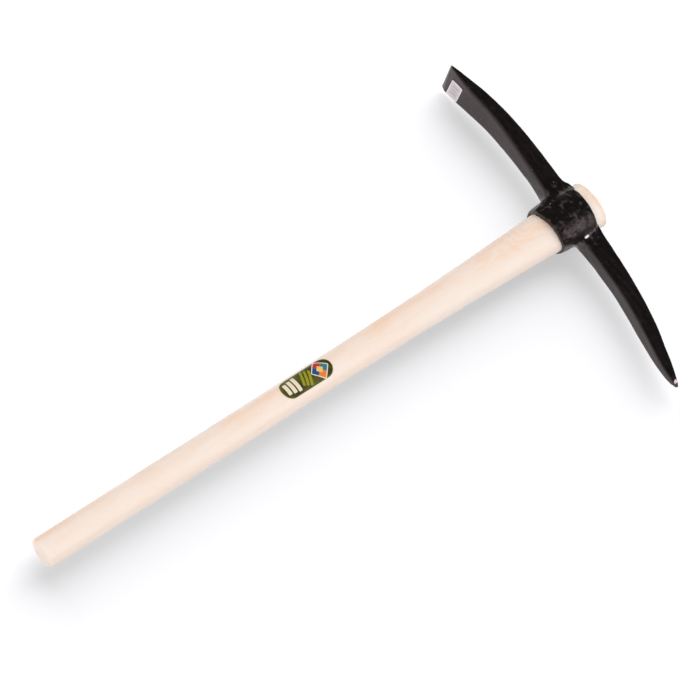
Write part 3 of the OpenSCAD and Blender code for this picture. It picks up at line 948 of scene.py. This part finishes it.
def print_material():
    settings = bpy.context.scene.pick_label
    length, width = handle_label_size()
    material, tree, shader, coordinates = new_material("label_print")
    flat = place(tree, "ShaderNodeUVMap", uv_map="print").outputs["UV"]

    pair = zip(settings.olive, settings.leaf)
    light_olive = [(1 - FIELD_LEAF_SHARE) * olive + FIELD_LEAF_SHARE * leaf for olive, leaf in pair]
    field = mottle(tree, flat, FIELD_SCALE, low=0.35, high=0.75)
    field = blend_colour(tree, field, settings.olive, light_olive)

    # Slanted stripes across the middle
    slant = turned_by(tree, flat, STRIPE_TURN)
    for k in range(3):
        half = (STRIPE_HALF, STRIPE_SHARE * width)
        stripe = rounded_box(tree, slant, ((k - 1) * STRIPE_GAP, 0), half, STRIPE_CORNER)
        field = blend_colour(tree, stripe, field, settings.leaf)

    # Bars at the grip end
    for k in range(3):
        centre = (BAR_START_SHARE * length + k * BAR_GAP, 0)
        half = (BAR_HALF, (BAR_SHARE + BAR_GAIN_SHARE * k) * width)
        bar = rounded_box(tree, flat, centre, half, BAR_CORNER)
        field = blend_colour(tree, bar, field, settings.cream)

    # A lozenge of four colours at the head end
    centre = (LOZENGE_PLACE_SHARE * length, 0, 0)
    turned = turned_by(tree, vector_calc(tree, "SUBTRACT", flat, centre), math.radians(45))
    half = LOZENGE_SHARE * width
    rim_corner, quarter_corner, middle_corner = LOZENGE_CORNERS
    rim = rounded_box(tree, turned, (0, 0), (half + LOZENGE_RIM,) * 2, rim_corner)
    field = blend_colour(tree, rim, field, settings.cream)
    quarters = (
        (-1, -1, settings.blue),
        (-1, 1, settings.crimson),
        (1, 1, settings.teal),
        (1, -1, settings.orange),
    )
    for x, y, colour in quarters:
        quarter = rounded_box(tree, turned, (x * half / 2, y * half / 2), (half / 2,) * 2, quarter_corner)
        field = blend_colour(tree, quarter, field, colour)
    middle = rounded_box(tree, turned, (0, 0), (half * LOZENGE_MIDDLE_SHARE,) * 2, middle_corner)
    field = blend_colour(tree, middle, field, settings.yellow)

    half_length, half_width = length / 2 - settings.border, width / 2 - settings.border
    inner = rounded_box(tree, flat, (0, 0), (half_length, half_width), half_width)
    printed = blend_colour(tree, inner, settings.cream, field)
    tree.links.new(printed, shader.inputs["Base Color"])
    fibre = mottle(tree, coordinates["Object"], PRINT_FIBRE_SCALE, low=0.3, high=0.7)
    tree.links.new(spread(tree, fibre, 0.0, 1.0, *PRINT_ROUGHNESS), shader.inputs["Roughness"])
    bumped(tree, shader, fibre, PRINT_DEPTH, strength=0.4)
    return material


def handle_label_size():
    """Length of the handle label and its width round the handle, from the frame."""
    low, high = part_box("handle_label")
    turn = label_turns()
    return high.x - low.x, (turn[1] - turn[0]) * label_radius()


def label_turns():
    """First and last angle of the handle label round the handle, from Z towards Y."""
    points = node_points("handle_label")
    half_y, half_z = label_halves()
    angles = np.arctan2(points[:, 1] / half_y, points[:, 2] / half_z)
    return angles.min(), angles.max()


def label_halves():
    """Half width and half thickness of the handle under its label."""
    low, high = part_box("handle_label")
    places, halves = handle_sections()
    middle = (low.x + high.x) / 2
    return [np.interp(middle, places, halves[:, k]) for k in range(2)]


def label_radius():
    return sum(label_halves()) / 2


def keep_flat_places(piece):
    """Stores each corner's place on a flat label, in metres, for its print."""
    layer = piece.data.uv_layers.get("print") or piece.data.uv_layers.new(name="print")
    for loop in piece.data.loops:
        layer.data[loop.index].uv = piece.data.vertices[loop.vertex_index].co.xy


class PICK_OT_handle_label(bpy.types.Operator):
    """Cuts the handle label flat, cuts it into strips and wraps it round the handle"""

    bl_idname = "pick.handle_label"
    bl_label = "Handle Label"

    def execute(self, context):
        settings = context.scene.pick_label
        length, width = handle_label_size()
        bpy.ops.object.select_all(action="DESELECT")
        bpy.ops.mesh.primitive_circle_add(
            vertices=64, radius=width / 2, fill_type="NGON", location=(0, 0, 0)
        )
        piece = context.object
        piece.name = piece.data.name = "printed_label"
        with editing(piece) as mesh:
            bpy.ops.mesh.select_all(action="SELECT")
            bpy.ops.mesh.bisect(plane_co=(0, 0, 0), plane_no=(1, 0, 0))
            bpy.ops.mesh.select_mode(type="VERT")
            for side in (-1, 1):
                pick(piece, mesh, mesh.verts, lambda v: v.co.x * side > ON_MIDDLE)
                bpy.ops.transform.translate(value=(side * (length - width) / 2, 0, 0))
            for k in range(1, settings.strips):
                bpy.ops.mesh.select_all(action="SELECT")
                y = width * (k / settings.strips - 0.5)
                bpy.ops.mesh.bisect(plane_co=(0, y, 0), plane_no=(0, 1, 0))
            bpy.ops.mesh.select_all(action="SELECT")
            bpy.ops.mesh.normals_make_consistent(inside=False)
        keep_flat_places(piece)
        self.wrap(piece)
        finish_with(piece, "SOLIDIFY", thickness=LABEL_THICKNESS, offset=1.0)
        smooth_shading(piece, degrees=30)
        seat(piece, "handle_label", print_material())
        return {"FINISHED"}

    def wrap(self, piece):
        """Bends the flat label round the oval of the handle, with its right side out."""
        low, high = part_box("handle_label")
        places, halves = handle_sections()
        middle_turn = sum(label_turns()) / 2
        radius = label_radius()
        for vertex in piece.data.vertices:
            x = vertex.co.x + (low.x + high.x) / 2
            turn = middle_turn + vertex.co.y / radius
            half_y = np.interp(x, places, halves[:, 0]) + GLUE_FILM
            half_z = np.interp(x, places, halves[:, 1]) + GLUE_FILM
            vertex.co = (x, half_y * math.sin(turn), half_z * math.cos(turn))


def tag_material(size):
    settings = bpy.context.scene.pick_label
    material, tree, shader, coordinates = new_material("label_paper")
    flat = place(tree, "ShaderNodeUVMap", uv_map="print").outputs["UV"]
    fibre = mottle(tree, coordinates["Object"], TAG_FIBRE_SCALE, low=0.3, high=0.7)
    paper = blend_colour(tree, calc(tree, "MULTIPLY", fibre, TAG_FIBRE_INK), settings.tag, settings.tag_ink)
    centre = (0, TAG_PANEL_RISE_SHARE * size[1])
    half = [TAG_PANEL_SHARE * side for side in size]
    panel = rounded_box(tree, flat, centre, half, TAG_PANEL_CORNER, TAG_PANEL_SOFT)
    paper = blend_colour(tree, calc(tree, "MULTIPLY", panel, TAG_PANEL_INK), paper, settings.tag_ink)
    for k, share in enumerate(TAG_BAR_SHARES):
        centre = (0, size[1] * (TAG_BAR_FIRST_SHARE - TAG_BAR_STEP_SHARE * k))
        half = (share * size[0], TAG_BAR_HALF_SHARE * size[1])
        bar = rounded_box(tree, flat, centre, half, TAG_BAR_CORNER, TAG_BAR_SOFT)
        paper = blend_colour(tree, calc(tree, "MULTIPLY", bar, TAG_BAR_INK), paper, settings.tag_ink)
    tree.links.new(paper, shader.inputs["Base Color"])
    tree.links.new(spread(tree, fibre, 0.0, 1.0, *TAG_ROUGHNESS), shader.inputs["Roughness"])
    bumped(tree, shader, fibre, TAG_DEPTH, strength=0.5)
    return material


class PICK_OT_blade_label(bpy.types.Operator):
    """Cuts the small paper label and sticks it to the chisel's inner face, with its corners lifted a bit"""

    bl_idname = "pick.blade_label"
    bl_label = "Blade Label"

    def execute(self, context):
        settings = context.scene.pick_label
        middle, along, across, out, size = plate_frame("blade_label")
        bpy.ops.object.select_all(action="DESELECT")
        bpy.ops.mesh.primitive_grid_add(x_subdivisions=16, y_subdivisions=20, size=1, location=(0, 0, 0))
        piece = context.object
        piece.name = piece.data.name = "paper_tag"
        with editing(piece):
            bpy.ops.mesh.select_all(action="SELECT")
            bpy.ops.transform.resize(value=(size[0], size[1], 1))
        keep_flat_places(piece)
        for vertex in piece.data.vertices:
            flat = vertex.co.copy()
            corner = abs(4 * flat.x * flat.y / (size[0] * size[1])) ** TAG_CURL_POWER
            vertex.co = middle + along * flat.x + across * flat.y + out * settings.tag_curl * corner
        with editing(piece):
            bpy.ops.mesh.select_all(action="SELECT")
            bpy.ops.mesh.flip_normals()
        finish_with(piece, "SOLIDIFY", thickness=TAG_THICKNESS, offset=0.0)
        smooth_shading(piece, degrees=30)
        seat(piece, "blade_label", tag_material(size))
        return {"FINISHED"}


# Stage

# In reflections the floor ends like a table: its middle, how much narrower than long it is, and the distances
# from its middle, along X, between which it ends
TABLE_MIDDLE = (0.45, 0, 0)
TABLE_SHAPE = (1.0, 2.2, 0)
TABLE_END = (0.8, 1.4)
# How rough the floor is
FLOOR_ROUGHNESS = 0.9
# How far along X a direction points where the wall past the grip starts and is full, and the same for the
# light past the top end
WALL_EDGES = (-0.05, -0.75)
FAR_LIGHT_EDGES = (0.1, 0.75)
# How high a direction points where the sky is brightest
SKY_TOP = 0.9
# Shares of the panel's spread at which it ends and at which it is full
PANEL_EDGE_SHARES = (0.65, 0.35)
# Distance of the key light, and how far the camera sees
KEY_DISTANCE = 3
CAMERA_REACH = 200


def floor_material():
    settings = bpy.context.scene.pick_stage
    material, tree, shader, coordinates = new_material("pale_floor")
    shader.inputs["Base Color"].default_value = (*settings.floor, 1)
    shader.inputs["Roughness"].default_value = FLOOR_ROUGHNESS
    shader.inputs["Specular IOR Level"].default_value = 0.0
    rays = place(tree, "ShaderNodeLightPath").outputs
    mirrored = calc(tree, "MAXIMUM", rays["Is Glossy Ray"], rays["Is Transmission Ray"])
    seen = calc(tree, "MAXIMUM", rays["Is Camera Ray"], mirrored)
    level = calc(tree, "MULTIPLY", seen, settings.floor_glow)
    level = calc(tree, "MULTIPLY_ADD", mirrored, settings.floor_sheen, level)
    glow = place(tree, "ShaderNodeEmission", {"Strength": level})
    both = place(tree, "ShaderNodeAddShader", {0: shader.outputs["BSDF"], 1: glow.outputs["Emission"]})
    output = next(node for node in tree.nodes if node.type == "OUTPUT_MATERIAL")

    # In reflections the floor ends where a studio table would
    off_middle = vector_calc(tree, "SUBTRACT", coordinates["Object"], TABLE_MIDDLE)
    off_middle = vector_calc(tree, "LENGTH", vector_calc(tree, "MULTIPLY", off_middle, TABLE_SHAPE))
    past = calc(tree, "MULTIPLY", spread(tree, off_middle, *TABLE_END), mirrored)
    room = place(tree, "ShaderNodeEmission", {"Strength": settings.dark})
    ended = place(tree, "ShaderNodeMixShader", {0: past, 1: both.outputs[0], 2: room.outputs["Emission"]})
    tree.links.new(ended.outputs[0], output.inputs["Surface"])
    return material


class PICK_OT_stage(bpy.types.Operator):
    """Lays the floor, sets the lights and places the camera"""

    bl_idname = "pick.stage"
    bl_label = "Stage"

    def execute(self, context):
        settings = context.scene.pick_stage
        floor = self.lay_floor(context, settings)
        self.light(context, settings, floor)
        self.place_camera(context, settings)
        context.scene.view_settings.view_transform = "Standard"
        return {"FINISHED"}

    def lay_floor(self, context, settings):
        bpy.ops.object.select_all(action="DESELECT")
        height = CAD_BOX[0].z - settings.floor_gap
        bpy.ops.mesh.primitive_plane_add(size=settings.floor_size, location=(0, 0, height))
        floor = context.object
        floor.name = "floor"
        floor.data.materials.append(floor_material())
        return floor

    def light(self, context, settings, floor):
        """Lights the tool with the sky, and shows reflections a dark room with a wall and a panel."""
        world = bpy.data.worlds.new("studio")
        world.use_nodes = True
        tree = world.node_tree
        tree.nodes.clear()
        rays = place(tree, "ShaderNodeLightPath").outputs
        towards = place(tree, "ShaderNodeTexCoord").outputs["Generated"]
        parts = place(tree, "ShaderNodeSeparateXYZ", {"Vector": towards}).outputs
        past_grip = spread(tree, parts["X"], *WALL_EDGES)
        past_top = spread(tree, parts["X"], *FAR_LIGHT_EDGES)
        brightest = (0, -math.sin(settings.sky_tilt), math.cos(settings.sky_tilt))
        height = vector_calc(tree, "DOT_PRODUCT", towards, brightest)
        sky = spread(tree, height, 0.0, SKY_TOP, settings.sky_low, settings.sky_high)
        sky = calc(tree, "MULTIPLY_ADD", past_grip, settings.wall_light, sky)
        sky = calc(tree, "MULTIPLY_ADD", past_top, settings.far_light, sky)
        room = calc(tree, "MULTIPLY_ADD", past_grip, settings.wall, settings.dark)
        panel = self.towards(settings.panel_azimuth, settings.panel_elevation)
        off_panel = vector_calc(tree, "DOT_PRODUCT", towards, tuple(panel))
        edges = [math.cos(settings.panel_spread * share) for share in PANEL_EDGE_SHARES]
        room = calc(tree, "MULTIPLY_ADD", spread(tree, off_panel, *edges), settings.panel, room)
        level = spread(tree, rays["Is Glossy Ray"], 0.0, 1.0, sky, room)
        background = place(tree, "ShaderNodeBackground", {"Color": (1, 1, 1, 1), "Strength": level})
        place(tree, "ShaderNodeOutputWorld", {"Surface": background.outputs["Background"]})
        context.scene.world = world
        self.hang_key(context, settings, floor)

    def towards(self, azimuth, elevation):
        """The direction of an azimuth and a height."""
        flat = math.cos(elevation)
        return Vector((flat * math.cos(azimuth), flat * math.sin(azimuth), math.sin(elevation)))

    def hang_key(self, context, settings, floor):
        """Hangs the far, soft lamp that draws the shadow, and lets it light the floor only."""
        data = bpy.data.lights.new("key_light", "SUN")
        data.energy = settings.key
        data.angle = settings.key_spread
        lamp = bpy.data.objects.new("key_light", data)
        towards = self.towards(settings.key_azimuth, settings.key_elevation)
        lamp.rotation_euler = towards.to_track_quat("Z", "Y").to_euler()
        lamp.location = towards * KEY_DISTANCE
        context.collection.objects.link(lamp)
        only_floor = bpy.data.collections.new("key_light_floor")
        only_floor.objects.link(floor)
        lamp.light_linking.receiver_collection = only_floor

    def place_camera(self, context, settings):
        data = bpy.data.cameras.new("camera")
        data.lens = settings.camera_lens
        data.clip_end = CAMERA_REACH
        camera = bpy.data.objects.new("camera", data)
        ahead = Vector(settings.camera_target) - Vector(settings.camera_place)
        aim = ahead.to_track_quat("-Z", "Y").to_matrix().to_4x4()
        camera.matrix_world = (
            Matrix.Translation(settings.camera_place) @ aim @ Matrix.Rotation(settings.camera_roll, 4, "Z")
        )
        context.collection.objects.link(camera)
        context.scene.camera = camera


# Add-on

class PICK_PT_panel(bpy.types.Panel):
    """Lists the pieces of the pick axe and the stage"""

    bl_idname = "PICK_PT_panel"
    bl_label = "Pick Axe"
    bl_space_type = "VIEW_3D"
    bl_region_type = "UI"
    bl_category = "Pick Axe"

    def draw(self, context):
        for operator in OPERATORS:
            self.layout.operator(operator.bl_idname)


SETTINGS = {
    "pick_handle": PickHandleSettings,
    "pick_head": PickHeadSettings,
    "pick_label": PickLabelSettings,
    "pick_stage": PickStageSettings,
}
OPERATORS = (PICK_OT_handle, PICK_OT_head, PICK_OT_handle_label, PICK_OT_blade_label, PICK_OT_stage)


def register():
    for name, group in SETTINGS.items():
        bpy.utils.register_class(group)
        setattr(bpy.types.Scene, name, PointerProperty(type=group))
    for operator in OPERATORS:
        bpy.utils.register_class(operator)
    bpy.utils.register_class(PICK_PT_panel)


def unregister():
    bpy.utils.unregister_class(PICK_PT_panel)
    for operator in reversed(OPERATORS):
        bpy.utils.unregister_class(operator)
    for name, group in SETTINGS.items():
        delattr(bpy.types.Scene, name)
        bpy.utils.unregister_class(group)


def main():
    register()
    bpy.ops.pick.handle()
    bpy.ops.pick.head()
    bpy.ops.pick.handle_label()
    bpy.ops.pick.blade_label()
    bpy.ops.pick.stage()


if __name__ == "__main__":
    main()
